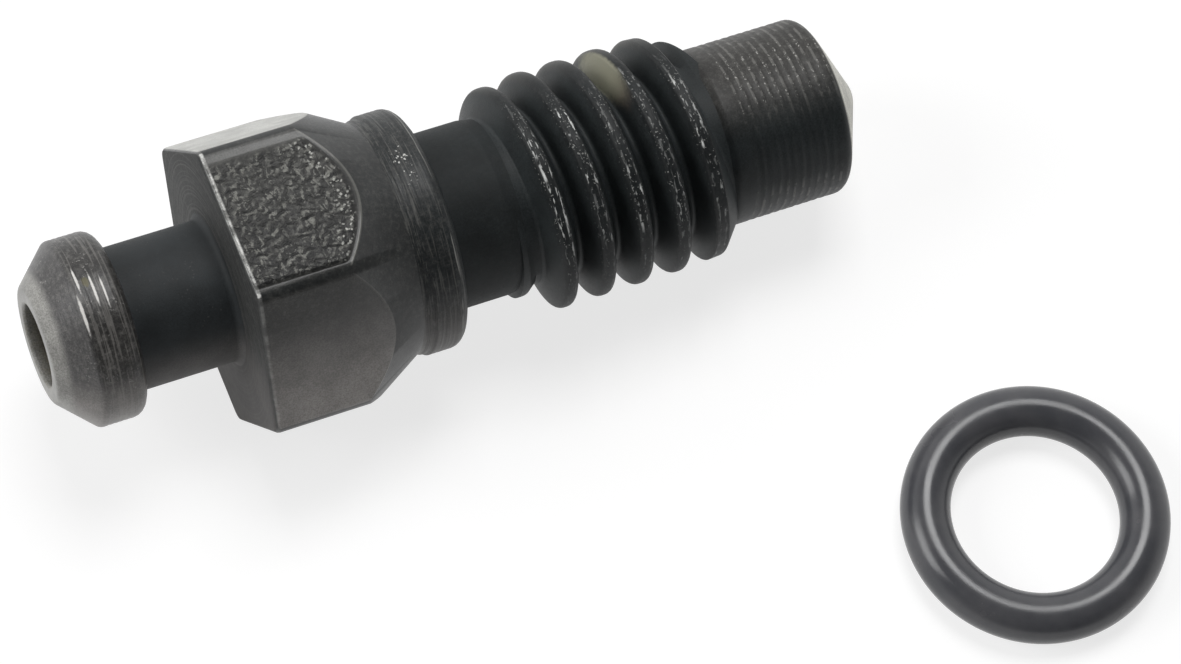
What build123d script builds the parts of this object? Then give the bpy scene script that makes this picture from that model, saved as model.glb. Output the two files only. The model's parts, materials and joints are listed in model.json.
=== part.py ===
from build123d import *
from math import atan2, cos, degrees, radians, sin, sqrt, tan
import os

# Bleeder screw with its seal ring taken off, both lying on one level surface.
# Millimetres. +Z is up and z = 0 is the surface. +X runs along the screw, from
# the mouth of its hose nipple to its closed tip, and the ring lies on its -Y side.
# The screw is turned from one bar, so it is modelled standing on its own axis,
# mouth down at height 0, and laid down last. Radii come from the diameters.

# Hose nipple. BARB_BACK_SHARE is how much of the step behind the barb its round takes.
BORE_D = 3.2
MOUTH_D = 4.55
MOUTH_ROUND = 0.12
BARB_D = 7.3
BARB_LAND = 1.825
BARB_CONE = 45.0
BARB_ROUND = 0.3
BARB_BACK_SHARE = 0.65
NECK_D = 5.6
NECK_LENGTH = 4.0
NECK_FILLET = 0.3

# Spanner hexagon, with its 30 degree chamfer on the tip side
HEX_AF = 11.0
HEX_FLAT = 5.08
HEX_CHAMFER = 30.0
HEX_NOSE_BEVEL = 0.12

# Collar that presses on the seal. COLLAR_ROUND_SHARE is how much of its face its round takes.
BAND_D = 9.28
BAND_WIDTH = 0.15
RELIEF_DEPTH = 0.1
RELIEF_WIDTH = 0.35
COLLAR_D = 9.58
COLLAR_WIDTH = 1.34
COLLAR_ROUND_SHARE = 0.35

# Seal neck
SEAL_NECK_D = 7.02
SEAL_NECK_LENGTH = 2.73

# Right-hand thread. Its flat crest and flat root are shares of the pitch, and the flanks take the rest.
THREAD_D = 9.26
THREAD_PITCH = 1.5875
THREAD_LENGTH = 9.52
THREAD_ROOT_D = 6.84
CREST_SHARE = 0.283
ROOT_SHARE = 0.143
CREST_BEVEL = 0.09
RUN_IN_ANGLE = 37.0
RUN_OUT_ANGLE = 31.0
FIRST_CREST = 0.43
RIDGE_SINK = 0.05

# Pilot and closed tip
PILOT_D = 7.15
PILOT_LENGTH = 4.37
PILOT_ROUND = 0.3
PILOT_BEVEL = 0.06
TIP_ANGLE = 130.0

# Inner passage: a blind bore that meets one cross-drilled port in the pilot
DRILL_ANGLE = 118.0
PORT_D = 1.6
PORT_SETBACK = 1.25
PORT_TURN = 24.0
BORE_PAST_PORT = 0.3

# Seal ring, and where it lies
RING_SECTION = 1.98
RING_STRETCH = 0.055
RING_CLEAR = 6.31
RING_AHEAD = 0.36

# Heights along the screw, from the mouth up
barb_base = (BARB_D - MOUTH_D) / 2 / tan(radians(BARB_CONE))
barb_end = barb_base + BARB_LAND
hex_base = barb_end + NECK_LENGTH
flat_end = hex_base + HEX_FLAT
band_base = flat_end + (HEX_AF - BAND_D) / 2 / tan(radians(HEX_CHAMFER))
relief_base = band_base + BAND_WIDTH
collar_base = relief_base + RELIEF_WIDTH
seal_face = collar_base + COLLAR_WIDTH
thread_base = seal_face + SEAL_NECK_LENGTH
pilot_base = thread_base + THREAD_LENGTH
pilot_end = pilot_base + PILOT_LENGTH
tip = pilot_end + PILOT_D / 2 / tan(radians(TIP_ANGLE / 2))
hex_corner = HEX_AF / sqrt(3)
port_height = pilot_end - PORT_SETBACK


def turned(points, rounds):
    """A solid of revolution about Z. Points are (radius, height), and each inner corner has its round."""
    outline = FilletPolyline(*points, radius=rounds)
    spine = Line(points[-1], points[0])
    return revolve(Plane.XZ * make_face([outline, spine]), Axis.Z)


def nipple():
    """The hose end: a barb with a 45 degree nose, and a neck with a fillet at the hexagon."""
    barb = BARB_D / 2
    neck = NECK_D / 2
    back_round = BARB_BACK_SHARE * (barb - neck)
    foot = neck + 2 * NECK_FILLET
    points = [
        (0, 0),
        (MOUTH_D / 2, 0),
        (barb, barb_base),
        (barb, barb_end),
        (neck, barb_end),
        (neck, hex_base),
        (foot, hex_base),
        (foot, flat_end),
        (0, flat_end),
    ]
    rounds = [MOUTH_ROUND, BARB_ROUND, back_round, 0, NECK_FILLET, 0, 0]
    return turned(points, rounds)


def hexagon():
    """The spanner hexagon, with two flats square to X, under the cone that chamfers its corners."""
    blank = extrude(RegularPolygon(HEX_AF / 2, 6, major_radius=False, rotation=30), band_base - hex_base)
    blank = chamfer(blank.faces().sort_by(Axis.Z)[0].edges(), HEX_NOSE_BEVEL)
    clear = hex_corner + HEX_NOSE_BEVEL
    cone_base = band_base - (clear - BAND_D / 2) / tan(radians(HEX_CHAMFER))
    cone = turned(
        [(0, hex_base), (clear, hex_base), (clear, cone_base), (BAND_D / 2, band_base), (0, band_base)],
        [0, 0, 0],
    )
    return Pos(0, 0, hex_base) * blank & cone


def collar_and_neck():
    """The collar, with its relief behind the band that ends the hexagon, and the neck that the seal fits."""
    band = BAND_D / 2
    collar = COLLAR_D / 2
    relief = collar - RELIEF_DEPTH
    neck = SEAL_NECK_D / 2
    face_round = COLLAR_ROUND_SHARE * (collar - neck)
    points = [
        (0, flat_end),
        (band, flat_end),
        (band, relief_base),
        (relief, relief_base + RELIEF_DEPTH),
        (relief, collar_base - RELIEF_DEPTH),
        (collar, collar_base),
        (collar, seal_face),
        (neck, seal_face),
        (neck, thread_base),
        (0, thread_base),
    ]
    return turned(points, [0, 0, 0, 0, 0, face_round, 0, 0])


def thread_ridge():
    """The thread's ridge: a blunt section swept along a right-hand helix, whose foot is inside the core."""
    crest = THREAD_D / 2
    foot = THREAD_ROOT_D / 2 - RIDGE_SINK
    crest_half = THREAD_PITCH * CREST_SHARE / 2
    foot_half = THREAD_PITCH * (1 - ROOT_SHARE) / 2
    flank_half = crest_half + (foot_half - crest_half) * CREST_BEVEL / (crest - foot)
    section = Polyline(
        (foot, -foot_half),
        (crest - CREST_BEVEL, -flank_half),
        (crest, -crest_half + CREST_BEVEL),
        (crest, crest_half - CREST_BEVEL),
        (crest - CREST_BEVEL, flank_half),
        (foot, foot_half),
        close=True,
    )
    start = Pos(0, 0, thread_base + FIRST_CREST - THREAD_PITCH)
    helix = start * Helix(THREAD_PITCH, THREAD_LENGTH + 2 * THREAD_PITCH, foot)
    return sweep(start * (Plane.XZ * make_face(section)), path=helix, is_frenet=True)


def thread():
    """The threaded length: the core, and the ridge turned down to nothing at both ends."""
    core = THREAD_ROOT_D / 2
    low = core - 4 * RIDGE_SINK
    high = THREAD_D / 2 + RIDGE_SINK
    run_in = (high - low) / tan(radians(RUN_IN_ANGLE))
    run_out = (high - low) / tan(radians(RUN_OUT_ANGLE))
    envelope = turned(
        [
            (0, thread_base),
            (low, thread_base),
            (high, thread_base + run_in),
            (high, pilot_base - run_out),
            (low, pilot_base),
            (0, pilot_base),
        ],
        [0, 0, 0, 0],
    )
    bar = Cylinder(core, THREAD_LENGTH, align=(Align.CENTER, Align.CENTER, Align.MIN))
    return Pos(0, 0, thread_base) * bar + (thread_ridge() & envelope)


def pilot():
    """The plain pilot past the thread, and the blunt cone that closes it."""
    radius = PILOT_D / 2
    points = [
        (0, pilot_base),
        (radius - PILOT_BEVEL, pilot_base),
        (radius, pilot_base + PILOT_BEVEL),
        (radius, pilot_end),
        (0, tip),
    ]
    return turned(points, [0, 0, PILOT_ROUND])


def passage():
    """The blind bore with its drill point, and the port that opens it to one side of the pilot."""
    bore = BORE_D / 2
    bore_end = port_height + PORT_D / 2 + BORE_PAST_PORT
    drill_tip = bore_end + bore / tan(radians(DRILL_ANGLE / 2))
    blind = turned([(0, 0), (bore, 0), (bore, bore_end), (0, drill_tip)], [0, 0])
    drill = Rot(0, 90, 0) * Cylinder(PORT_D / 2, PILOT_D, align=(Align.CENTER, Align.CENTER, Align.MIN))
    return blind + Pos(0, 0, port_height) * Rot(0, 0, PORT_TURN) * drill


def bleeder_screw():
    """The whole screw, standing on its mouth."""
    return nipple() + hexagon() + collar_and_neck() + thread() + pilot() - passage()


def seal_ring():
    """The rubber ring, whose bore is smaller than its neck by the stretch that it takes there."""
    bore = SEAL_NECK_D / (1 + RING_STRETCH)
    return Torus((bore + RING_SECTION) / 2, RING_SECTION / 2)


def rest_tilt():
    """How far the tip hangs down, in degrees, when the screw rests on a flat and on what touches next."""
    half = HEX_AF / 2
    turns = int((THREAD_LENGTH - FIRST_CREST - THREAD_PITCH) / THREAD_PITCH)
    last_turn = thread_base + FIRST_CREST + turns * THREAD_PITCH
    last_crest = last_turn + THREAD_PITCH * CREST_SHARE / 2 - CREST_BEVEL
    touches = [(seal_face, COLLAR_D / 2), (last_crest, THREAD_D / 2), (pilot_end, PILOT_D / 2)]
    return min(degrees(atan2(half - r, z - flat_end)) for z, r in touches)


def laid_down():
    """The place that lays the standing screw on the surface, with its tip towards +X."""
    tilt = rest_tilt()
    lift = HEX_AF / 2 * cos(radians(tilt)) + flat_end * sin(radians(tilt))
    return Pos(0, 0, lift) * Rot(0, 90 + tilt, 0)


screw = laid_down() * bleeder_screw()
ring_reach = (SEAL_NECK_D / (1 + RING_STRETCH)) / 2 + RING_SECTION
ring_place = Pos(tip + RING_AHEAD, -(hex_corner + RING_CLEAR + ring_reach), RING_SECTION / 2)
ring = ring_place * seal_ring()

# The origin is under the middle of the pair
blank = (laid_down() * (nipple() + hexagon() + pilot())).bounding_box()
low_x = min(blank.min.X, ring.bounding_box().min.X)
high_x = max(blank.max.X, ring.bounding_box().max.X)
low_y = min(blank.min.Y, ring.bounding_box().min.Y)
high_y = max(blank.max.Y, ring.bounding_box().max.Y)
centred = Pos(-(low_x + high_x) / 2, -(low_y + high_y) / 2, 0)

os.makedirs("parts", exist_ok=True)
export_step(centred * screw, "parts/bleeder_screw.step")
export_step(centred * ring, "parts/seal_ring.step")
print("tilt", round(rest_tilt(), 3), "length", round(tip, 3), "origin shift", centred.position)
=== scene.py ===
import json
import math

import bpy
from mathutils import Matrix, Vector


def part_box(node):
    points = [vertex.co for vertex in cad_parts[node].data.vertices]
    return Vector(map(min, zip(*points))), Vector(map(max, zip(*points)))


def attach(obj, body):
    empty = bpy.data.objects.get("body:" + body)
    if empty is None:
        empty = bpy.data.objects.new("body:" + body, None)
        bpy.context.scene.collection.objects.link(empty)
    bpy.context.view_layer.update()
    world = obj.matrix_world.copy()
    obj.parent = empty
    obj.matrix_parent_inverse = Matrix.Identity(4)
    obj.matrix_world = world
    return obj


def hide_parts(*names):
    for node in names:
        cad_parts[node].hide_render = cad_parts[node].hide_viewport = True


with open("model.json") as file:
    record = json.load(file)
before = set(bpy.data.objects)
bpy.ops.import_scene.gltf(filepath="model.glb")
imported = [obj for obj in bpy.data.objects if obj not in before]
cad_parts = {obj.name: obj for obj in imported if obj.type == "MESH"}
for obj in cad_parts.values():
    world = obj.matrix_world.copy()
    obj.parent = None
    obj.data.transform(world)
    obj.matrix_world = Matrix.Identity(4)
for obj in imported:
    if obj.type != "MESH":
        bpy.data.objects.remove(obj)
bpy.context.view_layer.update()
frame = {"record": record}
bpy.ops.object.select_all(action="DESELECT")


# The hose nipple: a mouth with a rounded lip, a 45 degree cone, a barb and a neck. It is the
# first length of one steel bar, turned on a lathe and phosphated black, and its lip, cone and
# barb are worn to grey. Each form is made standing, mouth down, with a millimetre to the unit.
MM = 0.001
TURNING_STEPS = 240
MOUTH_R = 2.275
MOUTH_LIP = 0.32
BARB_R = 3.65
BARB_LAND = 1.825
BARB_ROUND = 0.3
BARB_BACK_ROUND = 0.55
BARB_RING_PITCH = 0.21
BARB_RING_DEPTH = 0.012
NECK_R = 2.8
NECK_LENGTH = 4.0
NECK_FILLET = 0.3
JOIN_OVERLAP = 0.012
JOIN_DEPTH = 1
LEAST_GAP = 0.0005

barb_base = BARB_R - MOUTH_R
barb_end = barb_base + BARB_LAND
hex_base = barb_end + NECK_LENGTH
rings_from = barb_base + 0.2
rings_to = barb_end - BARB_BACK_ROUND - 0.05


def rounded(corners, segments=5):
    """The outline through corners of (radius, height, round), each round drawn as an arc."""
    points = []
    for i, (r, z, size) in enumerate(corners):
        here = Vector((r, z))
        if size == 0 or i in (0, len(corners) - 1):
            points.append(here)
            continue
        to_last = (Vector(corners[i - 1][:2]) - here).normalized()
        to_next = (Vector(corners[i + 1][:2]) - here).normalized()
        half = to_last.angle(to_next) / 2
        centre = here + (to_last + to_next).normalized() * size / math.sin(half)
        start = here + to_last * size / math.tan(half) - centre
        sweep = start.angle_signed(here + to_next * size / math.tan(half) - centre)
        for k in range(segments + 1):
            points.append(centre + Matrix.Rotation(-sweep * k / segments, 2) @ start)
    return points


def scalloped(radius, start, end, spacing, depth):
    """Corners along a plain stretch that the turning tool left in shallow rings."""
    count = round((end - start) / spacing)
    step = (end - start) / count
    shape = ((0.0, 0.0), (0.2, 0.55), (0.45, 1.0), (0.7, 0.6), (0.88, 0.1))
    corners = []
    for k in range(count):
        deep = depth * (0.7 + 0.3 * math.sin(2.3 * k))
        for along, share in shape:
            corners.append((radius - deep * share, start + (k + along) * step, 0))
    return corners + [(radius, end, 0)]


def new_piece(name, points, edges):
    """A piece made from points in millimetres, selected and active."""
    mesh = bpy.data.meshes.new(name)
    mesh.from_pydata(points, edges, [])
    piece = bpy.data.objects.new(name, mesh)
    bpy.context.scene.collection.objects.link(piece)
    bpy.ops.object.select_all(action="DESELECT")
    piece.select_set(True)
    bpy.context.view_layer.objects.active = piece
    return piece


def spun(name, outline):
    """A closed solid spun about Z from an outline that starts and ends on the axis."""
    points = [(r, 0, z) for r, z in outline]
    piece = new_piece(name, points, [(i, i + 1) for i in range(len(points) - 1)])
    bpy.ops.object.mode_set(mode="EDIT")
    bpy.ops.mesh.select_all(action="SELECT")
    bpy.ops.mesh.spin(steps=TURNING_STEPS, angle=2 * math.pi, center=(0, 0, 0), axis=(0, 0, 1))
    bpy.ops.mesh.select_all(action="SELECT")
    bpy.ops.mesh.remove_doubles(threshold=LEAST_GAP)
    bpy.ops.mesh.normals_make_consistent(inside=False)
    bpy.ops.object.mode_set(mode="OBJECT")
    return piece


nipple = spun("hose_nipple", rounded([
    (0, 0, 0),
    (MOUTH_R, 0, MOUTH_LIP),
    (BARB_R, barb_base, BARB_ROUND),
    *scalloped(BARB_R, rings_from, rings_to, BARB_RING_PITCH, BARB_RING_DEPTH),
    (BARB_R, barb_end, BARB_BACK_ROUND),
    (NECK_R, barb_end, 0.06),
    (NECK_R, hex_base + JOIN_OVERLAP, NECK_FILLET),
    (NECK_R + 2 * NECK_FILLET, hex_base + JOIN_OVERLAP, 0),
    (NECK_R + 2 * NECK_FILLET, hex_base + JOIN_DEPTH, 0),
    (0, hex_base + JOIN_DEPTH, 0),
]))


def shade(red, green, blue):
    """A colour as it looks on a screen, 0 to 255, in the linear values that a shader takes."""
    parts = [c / 255 for c in (red, green, blue)]
    return (*[c / 12.92 if c < 0.04045 else ((c + 0.055) / 1.055) ** 2.4 for c in parts], 1)


def wire(tree, kind, values=None, **settings):
    """A new node. An input is linked where its value is a socket, and else holds the value."""
    node = tree.nodes.new(kind)
    for key, value in settings.items():
        setattr(node, key, value)
    for key, value in (values or {}).items():
        if isinstance(value, bpy.types.NodeSocket):
            tree.links.new(value, node.inputs[key])
        else:
            node.inputs[key].default_value = value
    return node


def maths(tree, operation, a, b=0.0):
    return wire(tree, "ShaderNodeMath", {0: a, 1: b}, operation=operation).outputs[0]


def product(tree, *values):
    """All the values multiplied together."""
    result = values[0]
    for value in values[1:]:
        result = maths(tree, "MULTIPLY", result, value)
    return result


def span(tree, value, low, high, to_low=0.0, to_high=1.0):
    """A value eased from to_low, at low, to to_high, at high."""
    values = {0: value, 1: low, 2: high, 3: to_low, 4: to_high}
    return wire(tree, "ShaderNodeMapRange", values, interpolation_type="SMOOTHSTEP").outputs[0]


def between(tree, value, rise, fall, after=0.0):
    """A mask that eases up over the rise, and down to its last level over the fall."""
    return product(tree, span(tree, value, *rise), span(tree, value, *fall, 1.0, after))


def mixed(tree, share, first, second, way="MIX"):
    """Two colours mixed."""
    values = {0: share, 6: first, 7: second}
    return wire(tree, "ShaderNodeMix", values, data_type="RGBA", blend_type=way).outputs[2]


def noise(tree, vector, scale, detail=2.0, roughness=0.5, distortion=0.0):
    values = {"Vector": vector, "Scale": scale, "Detail": detail, "Roughness": roughness}
    values["Distortion"] = distortion
    return wire(tree, "ShaderNodeTexNoise", values).outputs[0]


def scaled(tree, vector, factors):
    """A vector with each part multiplied by its own factor."""
    return wire(tree, "ShaderNodeVectorMath", {0: vector, 1: factors}, operation="MULTIPLY").outputs[0]


def shifted(tree, vector, by):
    return wire(tree, "ShaderNodeVectorMath", {0: vector, 1: by}, operation="ADD").outputs[0]


def triple(tree, x, y, z):
    return wire(tree, "ShaderNodeCombineXYZ", {0: x, 1: y, 2: z}).outputs[0]


SOCKETS = {"colour": "NodeSocketColor", "vector": "NodeSocketVector", "value": "NodeSocketFloat"}


def new_effect(name, inputs, outputs):
    """An empty node group with named sockets: its tree, its inputs and its output node."""
    group = bpy.data.node_groups.new(name, "ShaderNodeTree")
    for label, kind in inputs.items():
        group.interface.new_socket(label, in_out="INPUT", socket_type=SOCKETS[kind])
    for label, kind in outputs.items():
        group.interface.new_socket(label, in_out="OUTPUT", socket_type=SOCKETS[kind])
    return group, group.nodes.new("NodeGroupInput").outputs, group.nodes.new("NodeGroupOutput")


def close_effect(group, end, values):
    for label, socket in values.items():
        group.links.new(socket, end.inputs[label])


def placed(tree, group, **values):
    """A node group placed in a material, with its own values: its outputs."""
    node = wire(tree, "ShaderNodeGroup", node_tree=group)
    for key, value in values.items():
        socket = node.inputs[key.replace("_", " ")]
        if isinstance(value, bpy.types.NodeSocket):
            tree.links.new(value, socket)
        else:
            socket.default_value = value
    return node.outputs


# how the finished screw lies: its axis and its mouth, from the pilot's mount in the frame
PILOT_MIDDLE = 29.8946
pilot_mount = [m for m in frame["record"]["mounts"] if m["name"] == "pilot"][0]
axis = Vector(pilot_mount["axis"]).normalized()
mouth_place = Vector(pilot_mount["pos_m"]) - axis * PILOT_MIDDLE * MM
lying = (0, math.atan2(axis.x, axis.z), 0)

# where a point is on the screw: millimetres from the mouth, and degrees round from the underside
screw_place, given, end = new_effect(
    "screw_place", {}, {"Point": "vector", "Along": "value", "Radius": "value", "Turn": "value"})
local = wire(screw_place, "ShaderNodeMapping", {
    "Vector": screw_place.nodes.new("ShaderNodeTexCoord").outputs["Object"],
    "Location": mouth_place,
    "Rotation": lying,
    "Scale": (MM, MM, MM),
}, vector_type="TEXTURE").outputs[0]
parts = wire(screw_place, "ShaderNodeSeparateXYZ", {0: local}).outputs
back = [maths(screw_place, "MULTIPLY", parts[i], -1.0) for i in (0, 1)]
half_turn = maths(screw_place, "ARCTAN2", back[1], back[0])
flattened = scaled(screw_place, local, (1.0, 1.0, 0.0))
from_axis = wire(screw_place, "ShaderNodeVectorMath", {0: flattened}, operation="LENGTH")
close_effect(screw_place, end, {
    "Point": local,
    "Along": parts[2],
    "Radius": from_axis.outputs["Value"],
    "Turn": maths(screw_place, "ADD", maths(screw_place, "DEGREES", half_turn), 180.0),
})

# the phosphate coat: dark, mottled, with fine grain and a bloom of paler dust
phosphate, given, end = new_effect(
    "phosphate",
    {"Point": "vector", "Coat": "colour", "Bloom": "colour", "Amount": "value"},
    {"Color": "colour", "Roughness": "value", "Height": "value"})
cloud = noise(phosphate, given["Point"], 0.8, 4.0, 0.6)
grain = noise(phosphate, given["Point"], 15.0, 3.0, 0.7)
haze = noise(phosphate, given["Point"], 4.5, 6.0, 0.75)
dust = product(phosphate, span(phosphate, haze, 0.42, 0.72), given["Amount"])
wide_tone = span(phosphate, cloud, 0.3, 0.7, 0.8, 1.2)
fine_tone = span(phosphate, grain, 0.3, 0.7, 0.7, 1.3)
tone = product(phosphate, wide_tone, fine_tone)
coat = mixed(phosphate, dust, given["Coat"], given["Bloom"])
close_effect(phosphate, end, {
    "Color": scaled(phosphate, coat, triple(phosphate, tone, tone, tone)),
    "Roughness": span(phosphate, grain, 0.3, 0.7, 0.3, 0.44),
    "Height": grain,
})

# broken lines round the screw, left by turning or by a rub
turned_lines, given, end = new_effect(
    "turned_lines",
    {"Point": "vector", "Density": "value", "Length": "value", "Share": "value"},
    {"Mask": "value", "Height": "value"})
around = maths(turned_lines, "DIVIDE", 1.0, given["Length"])
squeeze = triple(turned_lines, around, around, given["Density"])
lines = noise(turned_lines, scaled(turned_lines, given["Point"], squeeze), 1.0, 2.0, 0.6)
cut = maths(turned_lines, "SUBTRACT", 0.72, product(turned_lines, given["Share"], 0.4))
close_effect(turned_lines, end, {
    "Mask": span(turned_lines, lines, cut, maths(turned_lines, "ADD", cut, 0.07)),
    "Height": lines,
})

# scattered small pale specks, each a chip or a grain of dust
specks, given, end = new_effect(
    "specks", {"Point": "vector", "Size": "value", "Share": "value"}, {"Mask": "value"})
bent = wire(specks, "ShaderNodeTexNoise", {"Vector": given["Point"], "Scale": 6.0, "Detail": 3.0})
bend = scaled(specks, bent.outputs[1], (0.22, 0.22, 0.22))
moved = shifted(specks, given["Point"], bend)
fineness = maths(specks, "DIVIDE", 1.0, given["Size"])
cells = wire(specks, "ShaderNodeTexVoronoi", {"Vector": moved, "Scale": fineness}).outputs
dot = span(specks, cells["Distance"], 0.2, 0.45, 1.0, 0.0)
pick = wire(specks, "ShaderNodeSeparateColor", {0: cells["Color"]}).outputs[0]
chosen = maths(specks, "LESS_THAN", pick, given["Share"])
close_effect(specks, end, {"Mask": product(specks, dot, chosen)})

# one mark at its own place on the screw, with a ragged edge
single_mark, given, end = new_effect(
    "single_mark",
    {"Point": "vector", "Along": "value", "Turn": "value", "At": "value", "At Turn": "value",
     "Half Length": "value", "Half Turn": "value", "Ragged": "value"},
    {"Mask": "value"})
off = maths(single_mark, "SUBTRACT", given["Along"], given["At"])
off = maths(single_mark, "DIVIDE", off, given["Half Length"])
away = maths(single_mark, "SUBTRACT", given["Turn"], given["At Turn"])
away = maths(single_mark, "DIVIDE", away, given["Half Turn"])
reach = maths(single_mark, "SQRT", maths(
    single_mark, "ADD", product(single_mark, off, off), product(single_mark, away, away)))
tear = maths(single_mark, "SUBTRACT", noise(single_mark, given["Point"], 5.0, 4.0, 0.7), 0.5)
reach = maths(single_mark, "ADD", reach, product(single_mark, tear, given["Ragged"]))
close_effect(single_mark, end, {"Mask": span(single_mark, reach, 0.55, 1.05, 1.0, 0.0)})


def new_finish(name, piece):
    """A material on a piece: its tree, its shader and where a point is on the screw."""
    material = bpy.data.materials.new(name)
    material.use_nodes = True
    piece.data.materials.clear()
    piece.data.materials.append(material)
    tree = material.node_tree
    return tree, tree.nodes["Principled BSDF"], placed(tree, screw_place)


def mark_mask(tree, place, at, at_turn, half_length, half_turn, ragged):
    return placed(
        tree,
        single_mark,
        Point=place["Point"],
        Along=place["Along"],
        Turn=place["Turn"],
        At=at,
        At_Turn=at_turn,
        Half_Length=half_length,
        Half_Turn=half_turn,
        Ragged=ragged,
    )["Mask"]


def bumped(tree, height, depth, shader, under=None):
    """Relief of a depth in millimetres, over any relief that is already there."""
    values = {"Height": height, "Distance": depth * MM}
    if under:
        values["Normal"] = under
    normal = wire(tree, "ShaderNodeBump", values).outputs[0]
    tree.links.new(normal, shader.inputs["Normal"])
    return normal


# each scratch's place along, its turn, its half length and half turn, and how ragged it is
SCRATCHES = (
    (1.6, 172.0, 0.06, 10.0, 0.8),
    (1.42, 194.0, 0.07, 14.0, 0.8),
    (2.1, 181.0, 0.06, 13.0, 0.7),
    (2.45, 184.0, 0.05, 12.0, 0.7),
)

tree, shader, place = new_finish("nipple_steel", nipple)
shader.inputs["Specular IOR Level"].default_value = 0.4
lip = span(tree, place["Along"], 0.3, 0.62, 1.0, 0.0)
barb = span(tree, place["Along"], barb_end - 0.1, barb_end - 0.02, 1.0, 0.0)
floor_reflection_side = span(tree, place["Turn"], 232.0, 262.0)
on_land = span(tree, place["Along"], barb_base - 0.1, barb_base + 0.2)
coat = mixed(tree, barb, shade(34, 38, 40), shade(70, 69, 69))
coat = mixed(tree, product(tree, on_land, barb), coat, shade(50, 49, 48))
# the underside is painted paler, a painted reflection of the white floor
floor_reflection_share = product(tree, floor_reflection_side, maths(tree, "ADD", product(tree, barb, 0.6), 0.4))
coat = mixed(tree, floor_reflection_share, coat, shade(122, 118, 115))
coat = mixed(tree, lip, coat, shade(146, 145, 141))
base = placed(tree, phosphate, Point=place["Point"], Coat=coat, Bloom=shade(128, 126, 123),
              Amount=product(tree, barb, 0.5))
rings = placed(tree, turned_lines, Point=place["Point"], Density=9.0, Length=3.0, Share=0.5)
line_share = product(tree, rings["Mask"], barb, on_land, 0.3)
colour = mixed(tree, line_share, base["Color"], shade(150, 147, 143))
chips = placed(tree, specks, Point=place["Point"], Size=0.1, Share=0.22)["Mask"]
chipped = span(tree, noise(tree, place["Point"], 1.2, 2.0, 0.5), 0.5, 0.62)
chip_share = product(tree, chips, chipped, span(tree, barb, 0.0, 1.0, 0.06, 0.5))
colour = mixed(tree, chip_share, colour, shade(176, 174, 171))
for scratch in SCRATCHES:
    colour = mixed(tree, mark_mask(tree, place, *scratch), colour, shade(226, 224, 220))
olive_spot = product(tree, mark_mask(tree, place, 1.9, 175.0, 0.16, 4.0, 0.8), 0.8)
colour = mixed(tree, olive_spot, colour, shade(96, 91, 60))
tree.links.new(colour, shader.inputs["Base Color"])
matt = span(tree, barb, 0.0, 1.0, 0.28, 0.0)
tree.links.new(maths(tree, "ADD", base["Roughness"], matt), shader.inputs["Roughness"])
relief = bumped(tree, base["Height"], 0.006, shader)
bumped(tree, product(tree, rings["Height"], barb), 0.02, shader, relief)


# The spanner hexagon. It is what is left of the drawn hexagonal bar, so its long edges are
# soft, its skin is rough, and its corners are turned off to a 30 degree cone on the thread's
# side. The nipple's side is faced on the lathe and has a broken edge.
HEX_FLAT = 5.08
HEX_APOTHEM = 5.5
HEX_EDGE = 0.34
HEX_NOSE_BEVEL = 0.19
CHAMFER_ANGLE = 30
BAND_R = 4.64
CONE_OVERRUN = 0.12
CONE_CLEAR = 0.2
CONE_FOOT = 0.3
BAR_OVERRUN = 0.5
JOIN_GAP = 0.001

flat_end = hex_base + HEX_FLAT
chamfer_slope = math.tan(math.radians(CHAMFER_ANGLE))
band_base = flat_end + (HEX_APOTHEM - BAND_R) / chamfer_slope
hex_corner = HEX_APOTHEM * 2 / math.sqrt(3)
bar_end = band_base + BAR_OVERRUN

bpy.ops.object.select_all(action="DESELECT")
bpy.ops.mesh.primitive_cylinder_add(
    vertices=6,
    radius=hex_corner,
    depth=bar_end - hex_base,
    location=(0, 0, (hex_base + bar_end) / 2),
)
hexagon = bpy.context.object
bpy.ops.object.transform_apply(location=True, rotation=True, scale=True)


def select_edges(piece, wanted):
    """Selects the edges whose middle and direction suit the test, and goes into edit mode."""
    bpy.ops.object.mode_set(mode="EDIT")
    bpy.ops.mesh.select_mode(type="EDGE")
    bpy.ops.mesh.select_all(action="DESELECT")
    bpy.ops.object.mode_set(mode="OBJECT")
    corners = piece.data.vertices
    for edge in piece.data.edges:
        a, b = (corners[i].co for i in edge.vertices)
        edge.select = wanted((a + b) / 2, (b - a).normalized())
    bpy.ops.object.mode_set(mode="EDIT")


def combine(piece, other, operation):
    """Adds, cuts or keeps what other covers of piece, with its materials, and deletes other."""
    bpy.ops.object.select_all(action="DESELECT")
    piece.select_set(True)
    bpy.context.view_layer.objects.active = piece
    modifier = piece.modifiers.new("join", "BOOLEAN")
    modifier.operation = operation
    modifier.solver = "EXACT"
    modifier.material_mode = "TRANSFER"
    modifier.object = other
    bpy.ops.object.modifier_apply(modifier=modifier.name)
    bpy.data.objects.remove(other)
    bpy.ops.object.mode_set(mode="EDIT")
    bpy.ops.mesh.select_all(action="SELECT")
    bpy.ops.mesh.remove_doubles(threshold=JOIN_GAP)
    bpy.ops.object.mode_set(mode="OBJECT")


select_edges(hexagon, lambda middle, way: abs(way.z) > 0.9)
bpy.ops.mesh.bevel(offset=HEX_EDGE, segments=5, affect="EDGES")
bpy.ops.object.mode_set(mode="OBJECT")
select_edges(hexagon, lambda middle, way: abs(way.z) < 0.1 and middle.z < hex_base + 0.01)
bpy.ops.mesh.bevel(offset=HEX_NOSE_BEVEL, segments=3, affect="EDGES")
bpy.ops.object.mode_set(mode="OBJECT")

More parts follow.
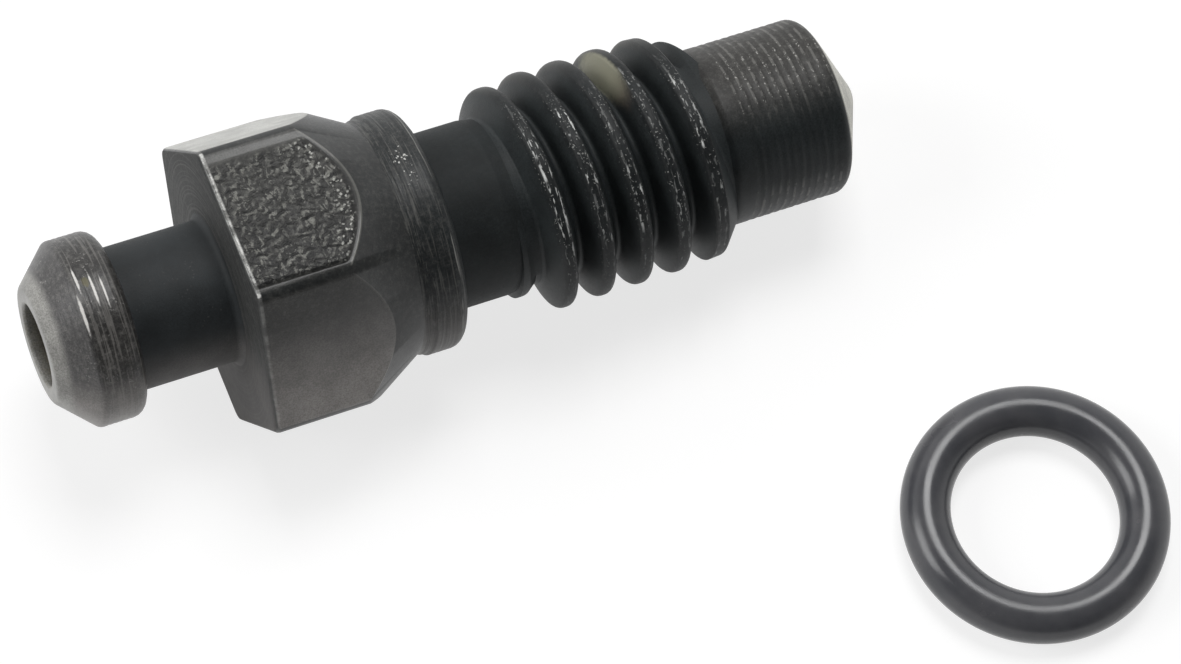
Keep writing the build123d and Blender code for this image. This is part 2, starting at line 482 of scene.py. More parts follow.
cone_wide = hex_corner + CONE_CLEAR
cone_narrow = BAND_R - CONE_OVERRUN
cone_end = flat_end + (HEX_APOTHEM - cone_narrow) / chamfer_slope
chamfer_cone = spun("chamfer_cone", rounded([
    (0, hex_base - CONE_FOOT, 0),
    (cone_wide, hex_base - CONE_FOOT, 0),
    (cone_wide, flat_end + (HEX_APOTHEM - cone_wide) / chamfer_slope, 0),
    (cone_narrow, cone_end, 0),
    (0, cone_end, 0),
]))
combine(hexagon, chamfer_cone, "INTERSECT")

ROUGH_FLAT, CLEAN_FLAT, PAINTED_BRIGHT_FLAT = 180.0, 240.0, 120.0
LUMP_SHIFT = 0.04

tree, shader, place = new_finish("hexagon_steel", hexagon)
flat_turn = product(tree, maths(tree, "ROUND", maths(tree, "DIVIDE", place["Turn"], 60.0)), 60.0)
aside = maths(tree, "RADIANS", maths(tree, "SUBTRACT", place["Turn"], flat_turn))
across = product(tree, place["Radius"], maths(tree, "SINE", aside))
apart = product(tree, place["Radius"], maths(tree, "COSINE", aside))
on_flat = span(tree, apart, HEX_APOTHEM - 0.04, HEX_APOTHEM - 0.01)
beyond = maths(tree, "DIVIDE", maths(tree, "SUBTRACT", place["Radius"], HEX_APOTHEM), chamfer_slope)
chamfer_gap = maths(tree, "SUBTRACT", maths(tree, "SUBTRACT", flat_end, place["Along"]), beyond)
from_nose = maths(tree, "SUBTRACT", place["Along"], hex_base)
on_nose = span(tree, from_nose, 0.02, 0.05, 1.0, 0.0)
rough_side, clean_side, painted_bright_side = (
    wire(tree, "ShaderNodeMath", {0: flat_turn, 1: at, 2: 1.0}, operation="COMPARE").outputs[0]
    for at in (ROUGH_FLAT, CLEAN_FLAT, PAINTED_BRIGHT_FLAT))

patchy = span(tree, noise(tree, place["Point"], 2.2, 3.0, 0.6), 0.4, 0.6, 0.25, 1.0)
inside = between(tree, across, (-2.6, -2.3), (2.6, 2.85))
skin = product(tree, on_flat, rough_side, inside, span(tree, chamfer_gap, 0.12, 0.35))
# two samples of the lumps a little apart: their difference paints the lumps' light and shade into the
# colour, and their sum is the lumps' bump
lit_side, dark_side = (
    noise(tree, shifted(tree, place["Point"], (0.0, -step, step)), 3.4, 3.0, 0.6, 0.8)
    for step in (LUMP_SHIFT, -LUMP_SHIFT))
painted_lump_light = maths(tree, "SUBTRACT", lit_side, dark_side)
far_strip = product(tree, rough_side, on_flat, span(tree, across, -2.6, -2.3, 1.0, 0.0))
flat_colour = mixed(tree, far_strip, shade(50, 50, 49), shade(76, 76, 74))
# the clean flat is painted paler towards its lower edge, a painted reflection of the white floor
floor_reflection_share = product(tree, clean_side, span(tree, across, -2.2, 3.0))
flat_colour = mixed(tree, floor_reflection_share, flat_colour, shade(140, 136, 133))
# the far flat is painted pale, a painted reflection of the white floor behind the screw
flat_colour = mixed(tree, product(tree, painted_bright_side, on_flat), flat_colour, shade(172, 172, 167))
skin_colour = mixed(tree, span(tree, across, -2.3, 2.6), shade(54, 54, 52), shade(28, 28, 28))
flat_colour = mixed(tree, product(tree, skin, 0.9), flat_colour, skin_colour)
# painted light and shade of the lumps: pale on their lit side, near black on their shaded side
painted_lit_faces = product(tree, span(tree, painted_lump_light, 0.01, 0.1), patchy, skin)
painted_shaded_faces = product(tree, span(tree, painted_lump_light, -0.09, 0.0, 1.0, 0.0), patchy, skin)
flat_colour = mixed(tree, product(tree, painted_lit_faces, 0.8), flat_colour, shade(132, 132, 126))
flat_colour = mixed(tree, product(tree, painted_shaded_faces, 0.9), flat_colour, shade(14, 15, 15))
coat = mixed(tree, on_flat, shade(34, 36, 36), flat_colour)
# the nose face is painted paler on its underside, a painted reflection of the white floor
nose_tone_with_painted_reflection = mixed(tree, span(tree, place["Turn"], 228.0, 268.0), shade(28, 30, 30), shade(74, 72, 71))
coat = mixed(tree, on_nose, coat, nose_tone_with_painted_reflection)
base = placed(tree, phosphate, Point=place["Point"], Coat=coat, Bloom=shade(110, 109, 105), Amount=0.22)
facing = noise(tree, triple(tree, product(tree, place["Radius"], 7.0), 0.0, 0.0), 1.0, 2.0)
facing_lines = product(tree, span(tree, facing, 0.5, 0.62), on_nose, 0.3)
colour = mixed(tree, facing_lines, base["Color"], shade(100, 99, 97))
on_cone = span(tree, chamfer_gap, -0.12, -0.04, 1.0, 0.0)
rub = placed(tree, turned_lines, Point=place["Point"], Density=7.0, Length=1.1, Share=0.5)["Mask"]
colour = mixed(tree, product(tree, rub, on_cone, 0.22), colour, shade(122, 118, 106))
near_arc = span(tree, maths(tree, "ABSOLUTE", chamfer_gap), 0.02, 0.09, 1.0, 0.0)
arc_level = maths(tree, "ADD", product(tree, rough_side, 0.35), 0.12)
arc_edge = product(tree, near_arc, on_flat, arc_level)
colour = mixed(tree, arc_edge, colour, shade(128, 128, 122))
bright = placed(tree, specks, Point=place["Point"], Size=0.16, Share=0.42)["Mask"]
by_arc = product(tree, between(tree, chamfer_gap, (0.1, 0.2), (0.5, 1.3)), skin)
colour = mixed(tree, product(tree, bright, by_arc, 0.85), colour, shade(206, 206, 200))
broken = span(tree, noise(tree, place["Point"], 1.6, 4.0, 0.7), 0.4, 0.6, 0.25, 1.0)
# a worn edge along the nose side, painted brightest on the top flat as a painted highlight
nose_wear_and_highlight = product(tree, between(tree, from_nose, (0.05, 0.1), (0.16, 0.24)), broken)
edge_wear_and_highlight_share = product(tree, nose_wear_and_highlight, maths(tree, "ADD", product(tree, rough_side, 0.75), 0.15))
colour = mixed(tree, edge_wear_and_highlight_share, colour, shade(244, 244, 240))
tree.links.new(colour, shader.inputs["Base Color"])
matt = maths(tree, "ADD", product(tree, skin, 0.15), product(tree, on_nose, 0.35))
tree.links.new(maths(tree, "ADD", base["Roughness"], matt), shader.inputs["Roughness"])
relief = bumped(tree, base["Height"], 0.006, shader)
bumped(tree, product(tree, maths(tree, "ADD", lit_side, dark_side), skin), 0.14, shader, relief)


# The collar that presses the seal, and the seal neck behind it. A narrow step parts the collar
# from the hexagon's cone. The neck keeps its black phosphate, and the collar is scuffed.
BAND_WIDTH = 0.15
STEP_WIDTH = 0.35
STEP_DEPTH = 0.1
COLLAR_R = 4.79
COLLAR_WIDTH = 1.34
COLLAR_ROUND = 0.45
COLLAR_RING_PITCH = 0.16
SEAL_NECK_R = 3.51
SEAL_NECK_LENGTH = 2.73
NECK_TAPER = (-0.3, 0.45)
NECK_TAPER_DROP = 0.13

step_base = band_base + BAND_WIDTH
collar_base = step_base + STEP_WIDTH
seal_face = collar_base + COLLAR_WIDTH
thread_base = seal_face + SEAL_NECK_LENGTH

collar = spun("collar", rounded([
    (0, flat_end, 0),
    (BAND_R, flat_end, 0),
    (BAND_R, step_base, 0.03),
    (COLLAR_R - STEP_DEPTH, step_base + STEP_DEPTH, 0.03),
    (COLLAR_R - STEP_DEPTH, collar_base - STEP_DEPTH, 0.03),
    (COLLAR_R, collar_base, 0.05),
    *scalloped(COLLAR_R, collar_base + 0.08, collar_base + 0.4, COLLAR_RING_PITCH, 0.014),
    *scalloped(COLLAR_R, seal_face - 0.8, seal_face - 0.48, COLLAR_RING_PITCH, 0.01),
    (COLLAR_R, seal_face, COLLAR_ROUND),
    (SEAL_NECK_R, seal_face, 0.1),
    (SEAL_NECK_R, thread_base + NECK_TAPER[0], 0.5),
    (SEAL_NECK_R - NECK_TAPER_DROP, thread_base + NECK_TAPER[1], 0),
    (0, thread_base + NECK_TAPER[1], 0),
]))
tree, shader, place = new_finish("collar_steel", collar)
shader.inputs["Specular IOR Level"].default_value = 0.3
scuffed = span(tree, place["Along"], seal_face - 0.25, seal_face, 1.0, 0.0)
floor_reflection_side = span(tree, place["Turn"], 235.0, 262.0)
coat = mixed(tree, scuffed, shade(29, 33, 34), shade(34, 37, 38))
# the underside of the scuffed round is painted paler, a painted reflection of the white floor
coat = mixed(tree, product(tree, floor_reflection_side, scuffed), coat, shade(70, 68, 66))
base = placed(tree, phosphate, Point=place["Point"], Coat=coat, Bloom=shade(104, 103, 100),
              Amount=span(tree, scuffed, 0.0, 1.0, 0.04, 0.3))
rings = placed(tree, turned_lines, Point=place["Point"], Density=13.0, Length=2.2, Share=0.42)
colour = mixed(tree, product(tree, rings["Mask"], scuffed, 0.28), base["Color"], shade(118, 117, 113))
near_step = between(
    tree, place["Along"], (band_base - 0.15, band_base), (collar_base, collar_base + 0.12))
rub = placed(tree, turned_lines, Point=place["Point"], Density=14.0, Length=0.7, Share=0.35)["Mask"]
colour = mixed(tree, product(tree, rub, near_step, 0.22), colour, shade(130, 129, 124))
from_round = maths(tree, "ABSOLUTE", maths(tree, "SUBTRACT", place["Along"], seal_face - 0.3))
far_round = span(tree, from_round, 0.02, 0.07, 1.0, 0.0)
colour = mixed(tree, product(tree, far_round, rings["Mask"], 0.5), colour, shade(160, 160, 156))
chips = placed(tree, specks, Point=place["Point"], Size=0.11, Share=0.45)["Mask"]
chip_patch = mark_mask(tree, place, 14.55, 172.0, 0.4, 15.0, 0.9)
colour = mixed(tree, product(tree, chips, chip_patch), colour, shade(214, 214, 210))
tree.links.new(colour, shader.inputs["Base Color"])
matt = span(tree, scuffed, 0.0, 1.0, 0.3, 0.06)
tree.links.new(maths(tree, "ADD", base["Roughness"], matt), shader.inputs["Roughness"])
relief = bumped(tree, base["Height"], 0.006, shader)
bumped(tree, product(tree, rings["Height"], scuffed), 0.014, shader, relief)


# The right-hand thread, cut on the bar. Its ridge is blunt, with worn edges, and the tool ran
# in and out of it at a slant. It is swept up the core as a closed ridge whose foot is inside.
THREAD_LENGTH = 9.52
ROOT_R = 3.42
PITCH = 1.5875
CREST_R = 4.63
CREST_SHARE = 0.283
ROOT_SHARE = 0.143
CREST_ROUND = 0.24
ROOT_ROUND = 0.16
FOOT_SINK = 0.1
FOOT_LIFT = 0.01
FOOT_CLEAR = 0.03
CORE_OVERLAP = (0.2, 0.05)
FIRST_CREST = 0.43

# turns past the first crest over which the ridge grows, fades and spreads
RUN_IN = (-0.65, 0.6)
RUN_OUT = (5.5, 5.2)
RUN_OUT_SPREAD = (4.5, 4.9)
RUN_OUT_WIDTH = 1.8
LEAST_HEIGHT = 0.02

# the cones that the ridge is turned to, and the last crests, which clear the surface below
RUN_IN_ANGLE = 66
RUN_IN_LEAD = 0.1
RUN_OUT_ANGLE = 48
RUN_OUT_LOW_R = 3.5
RUN_OUT_GAP = 0.3
LAST_CREST_R = 4.53
FULL_CRESTS = 6.1
TOOL_CLEAR = 0.05
RIDGE_TURNS = 6.5
RIDGE_STEPS = 150

pilot_base = thread_base + THREAD_LENGTH
crest_half = PITCH * CREST_SHARE / 2
root_half = PITCH * (1 - ROOT_SHARE) / 2
foot_half = PITCH / 2 - FOOT_CLEAR
foot_r = ROOT_R - FOOT_SINK
valley_r = ROOT_R + FOOT_LIFT
ridge_section = rounded([
    (foot_r, -foot_half, 0),
    (valley_r, -foot_half, 0),
    (valley_r, -root_half, ROOT_ROUND),
    (CREST_R, -crest_half, CREST_ROUND),
    (CREST_R, crest_half, CREST_ROUND),
    (valley_r, root_half, ROOT_ROUND),
    (valley_r, foot_half, 0),
    (foot_r, foot_half, 0),
], 4)
ridge_start = thread_base + FIRST_CREST - PITCH
ridge_points = [(r, 0, ridge_start + z) for r, z in ridge_section]
count = len(ridge_points)
ridge = new_piece("thread_ridge", ridge_points, [(i, (i + 1) % count) for i in range(count)])
sweep = ridge.modifiers.new("sweep", "SCREW")
sweep.axis = "Z"
sweep.angle = 2 * math.pi * RIDGE_TURNS
sweep.screw_offset = PITCH * RIDGE_TURNS
sweep.steps = round(RIDGE_STEPS * RIDGE_TURNS)
sweep.render_steps = sweep.steps
bpy.ops.object.modifier_apply(modifier=sweep.name)
bpy.ops.object.mode_set(mode="EDIT")
bpy.ops.mesh.select_all(action="SELECT")
bpy.ops.mesh.remove_doubles(threshold=LEAST_GAP)
bpy.ops.mesh.select_all(action="SELECT")
bpy.ops.mesh.fill_holes(sides=count)
bpy.ops.mesh.select_all(action="SELECT")
bpy.ops.mesh.normals_make_consistent(inside=False)
bpy.ops.object.mode_set(mode="OBJECT")


def eased(value, limits):
    """0 at the first limit and past it, and 1 at the second."""
    share = min(max((value - limits[0]) / (limits[1] - limits[0]), 0), 1)
    return share * share * (3 - 2 * share)


# the ridge grows from nothing in its first turn, and its last turn spreads towards the pilot
for corner in ridge.data.vertices:
    x, y, z = corner.co
    turned = math.atan2(y, x) / (2 * math.pi) % 1
    turns = (z - thread_base - FIRST_CREST) / PITCH
    turns = round(turns - turned) + turned
    aside = z - thread_base - FIRST_CREST - turns * PITCH
    height = max(eased(turns, RUN_IN) * eased(turns, RUN_OUT), LEAST_HEIGHT)
    share = (foot_r + (math.hypot(x, y) - foot_r) * height) / math.hypot(x, y)
    spread = RUN_OUT_WIDTH * eased(turns, RUN_OUT_SPREAD) * max(aside - crest_half, 0)
    corner.co = (x * share, y * share, z + spread)

tool_high = CREST_R + TOOL_CLEAR
run_in_base = thread_base - RUN_IN_LEAD
run_in = (tool_high - ROOT_R) / math.tan(math.radians(RUN_IN_ANGLE))
run_out = (LAST_CREST_R - RUN_OUT_LOW_R) / math.tan(math.radians(RUN_OUT_ANGLE))
run_out_end = pilot_base - RUN_OUT_GAP
thread_space = spun("thread_space", rounded([
    (0, run_in_base, 0),
    (ROOT_R, run_in_base, 0),
    (tool_high, run_in_base + run_in, 0),
    (tool_high, thread_base + FULL_CRESTS, 0),
    (LAST_CREST_R, run_out_end - run_out, 0),
    (RUN_OUT_LOW_R, run_out_end, 0),
    (0, run_out_end, 0),
]))
combine(ridge, thread_space, "INTERSECT")
core = spun("thread_core", rounded([
    (0, thread_base - CORE_OVERLAP[0], 0),
    (ROOT_R, thread_base - CORE_OVERLAP[0], 0),
    (ROOT_R, pilot_base + CORE_OVERLAP[1], 0),
    (0, pilot_base + CORE_OVERLAP[1], 0),
]))

EDGE_LINE_INSET = 0.09

tree, shader, place = new_finish("thread_steel", ridge)
core.data.materials.append(ridge.data.materials[0])
shader.inputs["Specular IOR Level"].default_value = 0.25
climb = maths(tree, "DIVIDE", maths(tree, "SUBTRACT", place["Along"], thread_base + FIRST_CREST), PITCH)
climb = maths(tree, "SUBTRACT", climb, maths(tree, "DIVIDE", place["Turn"], 360.0))
beside = product(tree, maths(tree, "SUBTRACT", climb, maths(tree, "ROUND", climb)), PITCH)
beyond_edge = maths(tree, "SUBTRACT", maths(tree, "ABSOLUTE", beside), crest_half - EDGE_LINE_INSET)
from_edge = maths(tree, "ABSOLUTE", beyond_edge)
near_crest = span(tree, place["Radius"], CREST_R - 0.4, CREST_R - 0.05)
edge_line = product(tree, span(tree, from_edge, 0.015, 0.075, 1.0, 0.0), near_crest)
streaks = placed(tree, turned_lines, Point=place["Point"], Density=9.0, Length=0.45, Share=0.52)
broken = span(tree, noise(tree, place["Point"], 0.9, 3.0, 0.6), 0.46, 0.62)
highlight_side = between(tree, place["Turn"], (145.0, 175.0), (215.0, 262.0), 0.2)
# the crests on the far side are painted paler, a painted sheen
painted_sheen_side = span(tree, place["Turn"], 104.0, 150.0, 1.0, 0.0)
coat = mixed(tree, near_crest, shade(40, 44, 45), shade(28, 31, 32))
coat = mixed(tree, product(tree, near_crest, painted_sheen_side), coat, shade(84, 84, 82))
base = placed(tree, phosphate, Point=place["Point"], Coat=coat, Bloom=shade(86, 86, 84),
              Amount=product(tree, near_crest, 0.15))
streak_level = maths(tree, "ADD", product(tree, broken, 0.75), 0.15)
# worn crest edges, painted as bright broken lines only on the upper side, where they are also painted
# highlights
line_share = product(tree, edge_line, streaks["Mask"], streak_level, highlight_side)
colour = mixed(tree, line_share, base["Color"], shade(226, 228, 226))
chips = placed(tree, specks, Point=place["Point"], Size=0.085, Share=0.2)["Mask"]
# pale specks on the crests of the upper side, painted glints
colour = mixed(tree, product(tree, chips, near_crest, highlight_side, 0.6), colour, shade(170, 171, 168))
stain = placed(
    tree,
    single_mark,
    Point=place["Point"],
    Along=climb,
    Turn=place["Turn"],
    At=2.73,
    At_Turn=140.0,
    Half_Length=0.2,
    Half_Turn=38.0,
    Ragged=0.4,
)["Mask"]
stain_end = span(tree, place["Turn"], 148.0, 178.0)
stain_colour = mixed(tree, stain_end, shade(142, 141, 123), shade(66, 53, 48))
colour = mixed(tree, product(tree, stain, 0.9), colour, stain_colour)
tree.links.new(colour, shader.inputs["Base Color"])
tree.links.new(maths(tree, "ADD", base["Roughness"], 0.14), shader.inputs["Roughness"])
bumped(tree, base["Height"], 0.006, shader)


# The plain pilot, which guides the screw past the thread, and the blunt cone that closes it.
# The turning tool left even rings on the pilot, and the cone is painted pale, a painted reflection of
# the white surround.
PILOT_R = 3.575
PILOT_LENGTH = 4.37
PILOT_ROUND = 0.4
PILOT_LEAD = 0.48
PILOT_RAMP = (-0.16, 0.1)
PILOT_SINK = 0.5
RING_PITCH = 0.33
RING_DEPTH = 0.022
RING_COUNT = 11
FIRST_RING = 0.3
TIP_ANGLE = 126
TIP_ROUND = 1.3
TIP_ROUND_ANGLES = (26, 20, 14, 8, 4)

pilot_end = pilot_base + PILOT_LENGTH
tip_slope = math.tan(math.radians(TIP_ANGLE / 2))
sharp_tip = pilot_end + PILOT_R / tip_slope
tip = sharp_tip - TIP_ROUND * (1 / math.sin(math.radians(TIP_ANGLE / 2)) - 1)
pilot_start = pilot_base - PILOT_LEAD
pilot_foot_r = ROOT_R - 0.02
rings_start = pilot_base + FIRST_RING
rings_end = rings_start + RING_PITCH * RING_COUNT
tip_turns = [math.radians(angle) for angle in TIP_ROUND_ANGLES]
pilot = spun("pilot", rounded([
    (0, pilot_start - PILOT_SINK, 0),
    (pilot_foot_r, pilot_start - PILOT_SINK, 0),
    (pilot_foot_r, pilot_start + PILOT_RAMP[0], 0),
    (PILOT_R, pilot_start + PILOT_RAMP[1], 0.3),
    *scalloped(PILOT_R, rings_start, rings_end, RING_PITCH, RING_DEPTH),
    (PILOT_R, pilot_end, PILOT_ROUND),
    *[(TIP_ROUND * math.sin(a), tip - TIP_ROUND * (1 - math.cos(a)), 0) for a in tip_turns],
    (0, tip, 0),
]))
tree, shader, place = new_finish("pilot_steel", pilot)
shader.inputs["Specular IOR Level"].default_value = 0.3
on_tip = span(tree, place["Along"], pilot_end - 0.02, pilot_end + 0.12)
# the upper side is painted paler, a painted sheen, and carries more dust
dust_and_sheen_side = span(tree, place["Turn"], 178.0, 214.0, 1.0, 0.0)
floor_reflection_side = span(tree, place["Turn"], 242.0, 262.0)
coat = mixed(tree, dust_and_sheen_side, shade(34, 38, 39), shade(50, 49, 47))
# the tip cone is painted pale, a painted reflection of the white surround
coat = mixed(tree, on_tip, coat, shade(204, 203, 193))
base = placed(tree, phosphate, Point=place["Point"], Coat=coat, Bloom=shade(116, 115, 112),
              Amount=product(tree, dust_and_sheen_side, 0.3))
turn_of_ring = maths(tree, "DIVIDE", maths(tree, "SUBTRACT", place["Along"], rings_start), RING_PITCH)
off_ring = maths(tree, "SUBTRACT", turn_of_ring, maths(tree, "ROUND", turn_of_ring))
ring_top = span(tree, maths(tree, "ABSOLUTE", off_ring), 0.08, 0.24, 1.0, 0.0)
past_start = span(tree, place["Along"], rings_start - 0.1, rings_start)
ringed = product(tree, ring_top, past_start, maths(tree, "SUBTRACT", 1.0, on_tip))
# the rings' crests are painted paler only on the upper and lower sides, as painted highlights
ring_highlight_side = maths(tree, "MAXIMUM", dust_and_sheen_side, floor_reflection_side)
rings = placed(tree, turned_lines, Point=place["Point"], Density=3.0, Length=0.5, Share=0.6)
colour = mixed(tree, product(tree, ringed, ring_highlight_side, 0.08), base["Color"], shade(120, 119, 115))
colour = mixed(tree, product(tree, ringed, rings["Mask"], ring_highlight_side, 0.3), colour, shade(150, 149, 145))
chips = placed(tree, specks, Point=place["Point"], Size=0.09, Share=0.45)["Mask"]
# pale specks on the ring crests of the upper side, painted glints
glint_band = between(tree, place["Turn"], (145.0, 160.0), (185.0, 200.0))
colour = mixed(tree, product(tree, chips, glint_band, ringed), colour, shade(180, 179, 175))
tree.links.new(colour, shader.inputs["Base Color"])
tree.links.new(maths(tree, "ADD", base["Roughness"], 0.1), shader.inputs["Roughness"])
relief = bumped(tree, base["Height"], 0.006, shader)
bumped(tree, rings["Height"], 0.012, shader, relief)


# The bore is drilled from the mouth, and the port is drilled from the pilot's side into it, so
# that fluid can leave through the nipple. All the forms are one piece of steel.
BORE_R = 1.6
BORE_LIP = 0.14
DRILL_ANGLE = 118
PORT_R = 0.8
PORT_SETBACK = 1.25
PORT_TURN = 24
BORE_PAST_PORT = 0.3
MOUTH_CLEAR = 0.004
MOUTH_CUT_WIDTH = 0.6
MOUTH_CUT_DEPTH = 0.5
PORT_REACH = 1.2
SLIVER = 0.03
SMOOTH_ANGLE = 32

port_height = pilot_end - PORT_SETBACK
bore_end = port_height + PORT_R + BORE_PAST_PORT
bore = spun("bore", rounded([
    (0, -MOUTH_CUT_DEPTH, 0),
    (BORE_R + MOUTH_CUT_WIDTH, -MOUTH_CUT_DEPTH, 0),
    (BORE_R + MOUTH_CUT_WIDTH, -MOUTH_CLEAR, 0),
    (BORE_R, -MOUTH_CLEAR, BORE_LIP),
    (BORE_R, bore_end, 0),
    (0, bore_end + BORE_R / math.tan(math.radians(DRILL_ANGLE / 2)), 0),
]))
port_turn = math.radians(PORT_TURN)
port_way = Vector((math.cos(port_turn), math.sin(port_turn), 0))
bpy.ops.object.select_all(action="DESELECT")
bpy.ops.mesh.primitive_cylinder_add(
    vertices=48,
    radius=PORT_R,
    depth=PILOT_R * PORT_REACH,
    location=port_way * PILOT_R * PORT_REACH / 2 + Vector((0, 0, port_height)),
    rotation=(0, math.pi / 2, port_turn),
)
combine(bore, bpy.context.object, "UNION")
tree, shader, place = new_finish("bore_steel", bore)
shader.inputs["Specular IOR Level"].default_value = 0.3
coat = mixed(tree, span(tree, place["Along"], 0.1, 0.6), shade(134, 133, 129), shade(84, 80, 70))
base = placed(tree, phosphate, Point=place["Point"], Coat=coat, Bloom=shade(112, 106, 84), Amount=0.4)
rings = placed(tree, turned_lines, Point=place["Point"], Density=5.0, Length=3.0, Share=0.4)
colour = mixed(tree, product(tree, rings["Mask"], 0.2), base["Color"], shade(130, 124, 104))
tree.links.new(colour, shader.inputs["Base Color"])
tree.links.new(base["Roughness"], shader.inputs["Roughness"])
bumped(tree, rings["Height"], 0.02, shader)

screw = nipple
screw.name = "bleeder_screw_finished"
combine(screw, hexagon, "UNION")
combine(screw, collar, "UNION")
combine(screw, core, "UNION")
combine(screw, pilot, "UNION")
combine(screw, ridge, "UNION")
combine(screw, bore, "DIFFERENCE")

# the joins leave a few slivers a hundredth of a millimetre wide, which are drawn together
bpy.ops.object.mode_set(mode="EDIT")
bpy.ops.mesh.select_mode(type="VERT")
bpy.ops.mesh.select_all(action="DESELECT")
bpy.ops.mesh.select_non_manifold()
bpy.ops.mesh.remove_doubles(threshold=SLIVER)
bpy.ops.object.mode_set(mode="OBJECT")
bpy.ops.object.shade_smooth_by_angle(angle=math.radians(SMOOTH_ANGLE))
screw.location = mouth_place
screw.rotation_euler = lying
screw.scale = (MM, MM, MM)
bpy.ops.object.transform_apply(location=True, rotation=True, scale=True)
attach(screw, "root")
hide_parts("bleeder_screw")


# The seal ring: a moulded ring of black rubber, round in section. It fits the neck behind the
# collar, where the collar presses it, and here it is taken off and lies flat by itself.
RING_SEGMENTS = 220
RING_SECTION_SEGMENTS = 56

ring_low, ring_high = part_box("seal_ring")
ring_section = ring_high.z - ring_low.z
ring_reach = (ring_high.x - ring_low.x) / 2
bpy.ops.object.select_all(action="DESELECT")
bpy.ops.mesh.primitive_torus_add(
    major_segments=RING_SEGMENTS,
    minor_segments=RING_SECTION_SEGMENTS,
    major_radius=ring_reach - ring_section / 2,
    minor_radius=ring_section / 2,
    location=(ring_low + ring_high) / 2,
)
ring = bpy.context.object
ring.name = "seal_ring_finished"
bpy.ops.object.transform_apply(location=True, rotation=True, scale=True)
bpy.ops.object.shade_smooth()

rubber = bpy.data.materials.new("seal_rubber")
rubber.use_nodes = True
ring.data.materials.append(rubber)
tree = rubber.node_tree
shader = tree.nodes["Principled BSDF"]
point = scaled(tree, tree.nodes.new("ShaderNodeTexCoord").outputs["Object"], (1 / MM,) * 3)
grain = noise(tree, point, 14.0, 3.0, 0.7)
cloud = noise(tree, point, 0.5, 3.0, 0.6)
colour = mixed(tree, span(tree, cloud, 0.3, 0.7), shade(70, 71, 75), shade(82, 82, 85))
colour = mixed(tree, span(tree, grain, 0.45, 0.75, 0.0, 0.1), colour, shade(100, 100, 104))
tree.links.new(colour, shader.inputs["Base Color"])
tree.links.new(span(tree, cloud, 0.3, 0.7, 0.2, 0.28), shader.inputs["Roughness"])
bumped(tree, grain, 0.002, shader)
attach(ring, "root")
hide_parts("seal_ring")


# The studio: a white floor, two soft lamps, a pale surround that is darker in one direction,
# and the camera that looks down on the pair from the nipple's side.
PHOTO_WIDTH = 1181
SENSOR_WIDTH = 36
FOCAL_PX = 4204.6
CAMERA_TURN = 32.40
CAMERA_RISE = 65.95
CAMERA_ROLL = 10.88
CAMERA_DISTANCE = 162.77
CAMERA_TARGET = Vector((0.742, 2.912, 3.086))
FLOOR_DROP = 0.00002
LAMP_DISTANCE = 0.5
DARK_SIDE = (-0.1, -0.445, 0.89)

bpy.ops.object.select_all(action="DESELECT")
bpy.ops.mesh.primitive_plane_add(size=3.0, location=(0, 0, -FLOOR_DROP))
floor = bpy.context.object
floor.name = "floor"
white = bpy.data.materials.new("white_floor")
white.use_nodes = True
tree = white.node_tree
shader = tree.nodes["Principled BSDF"]
rays = tree.nodes.new("ShaderNodeLightPath").outputs
seen = maths(tree, "MAXIMUM", rays["Is Camera Ray"], rays["Is Glossy Ray"])
floor_colour = mixed(tree, seen, (0.94, 0.94, 0.94, 1), (0.32, 0.32, 0.32, 1))
floor_glow = mixed(tree, seen, (0, 0, 0, 1), (0.76, 0.76, 0.76, 1))
tree.links.new(floor_colour, shader.inputs["Base Color"])
tree.links.new(floor_glow, shader.inputs["Emission Color"])
shader.inputs["Emission Strength"].default_value = 1.0
shader.inputs["Roughness"].default_value = 0.9
shader.inputs["Specular IOR Level"].default_value = 0.0
floor.data.materials.append(white)

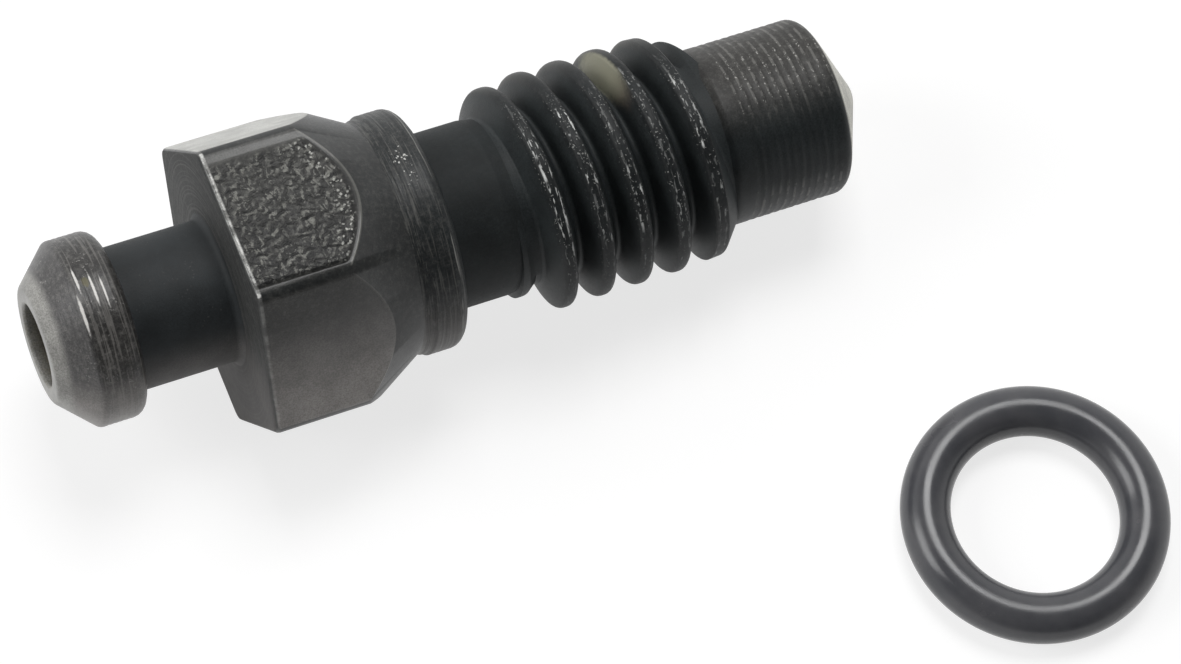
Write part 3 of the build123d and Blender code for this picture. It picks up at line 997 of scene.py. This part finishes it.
turn = math.radians(CAMERA_TURN)
rise = math.radians(CAMERA_RISE)
roll = math.radians(CAMERA_ROLL)
right = Vector((math.cos(turn), -math.sin(turn), 0))
up = Vector((math.sin(rise) * math.sin(turn), math.sin(rise) * math.cos(turn), math.cos(rise)))
ahead = Vector((math.cos(rise) * math.sin(turn), math.cos(rise) * math.cos(turn), -math.sin(rise)))
camera = bpy.data.objects.new("camera", bpy.data.cameras.new("camera"))
bpy.context.scene.collection.objects.link(camera)
camera.data.sensor_width = SENSOR_WIDTH
camera.data.lens = FOCAL_PX / PHOTO_WIDTH * SENSOR_WIDTH
camera.data.clip_start = 0.01
camera.data.clip_end = 10
side = right * math.cos(roll) + up * math.sin(roll)
top = up * math.cos(roll) - right * math.sin(roll)
spot = CAMERA_TARGET * MM - ahead * CAMERA_DISTANCE * MM
camera.matrix_world = Matrix((
    (side.x, top.x, -ahead.x, spot.x),
    (side.y, top.y, -ahead.y, spot.y),
    (side.z, top.z, -ahead.z, spot.z),
    (0, 0, 0, 1),
))
bpy.context.scene.camera = camera


def lamp(name, towards, size, level):
    """A square soft lamp that lights an upward face at its own level of white."""
    towards = towards.normalized()
    light = bpy.data.lights.new(name, "AREA")
    light.size = size
    light.energy = level * math.pi ** 2 * LAMP_DISTANCE ** 2 / towards.z
    lit = bpy.data.objects.new(name, light)
    lit.location = towards * LAMP_DISTANCE
    lit.rotation_euler = towards.to_track_quat("Z", "Y").to_euler()
    bpy.context.scene.collection.objects.link(lit)


lamp("overhead_lamp", Vector((0.16, 0.34, 0.93)), 0.22, 0.5)
lamp("side_lamp", Vector((-0.75, 0.25, 0.6)), 0.25, 0.26)

world = bpy.data.worlds.new("studio")
bpy.context.scene.world = world
world.use_nodes = True
tree = world.node_tree
way = tree.nodes.new("ShaderNodeTexCoord").outputs["Generated"]
dot = wire(tree, "ShaderNodeVectorMath", {0: way, 1: DARK_SIDE}, operation="DOT_PRODUCT")
lit = span(tree, dot.outputs["Value"], 0.1, 0.72, 1.0, 0.05)
rays = tree.nodes.new("ShaderNodeLightPath").outputs
level = wire(tree, "ShaderNodeMapRange", {0: rays["Is Glossy Ray"], 3: 0.4, 4: 1.0}).outputs[0]
strength = maths(tree, "MAXIMUM", product(tree, lit, level), rays["Is Camera Ray"])
tree.nodes["Background"].inputs["Color"].default_value = (1, 1, 1, 1)
tree.links.new(strength, tree.nodes["Background"].inputs["Strength"])
bpy.context.scene.view_settings.view_transform = "Standard"
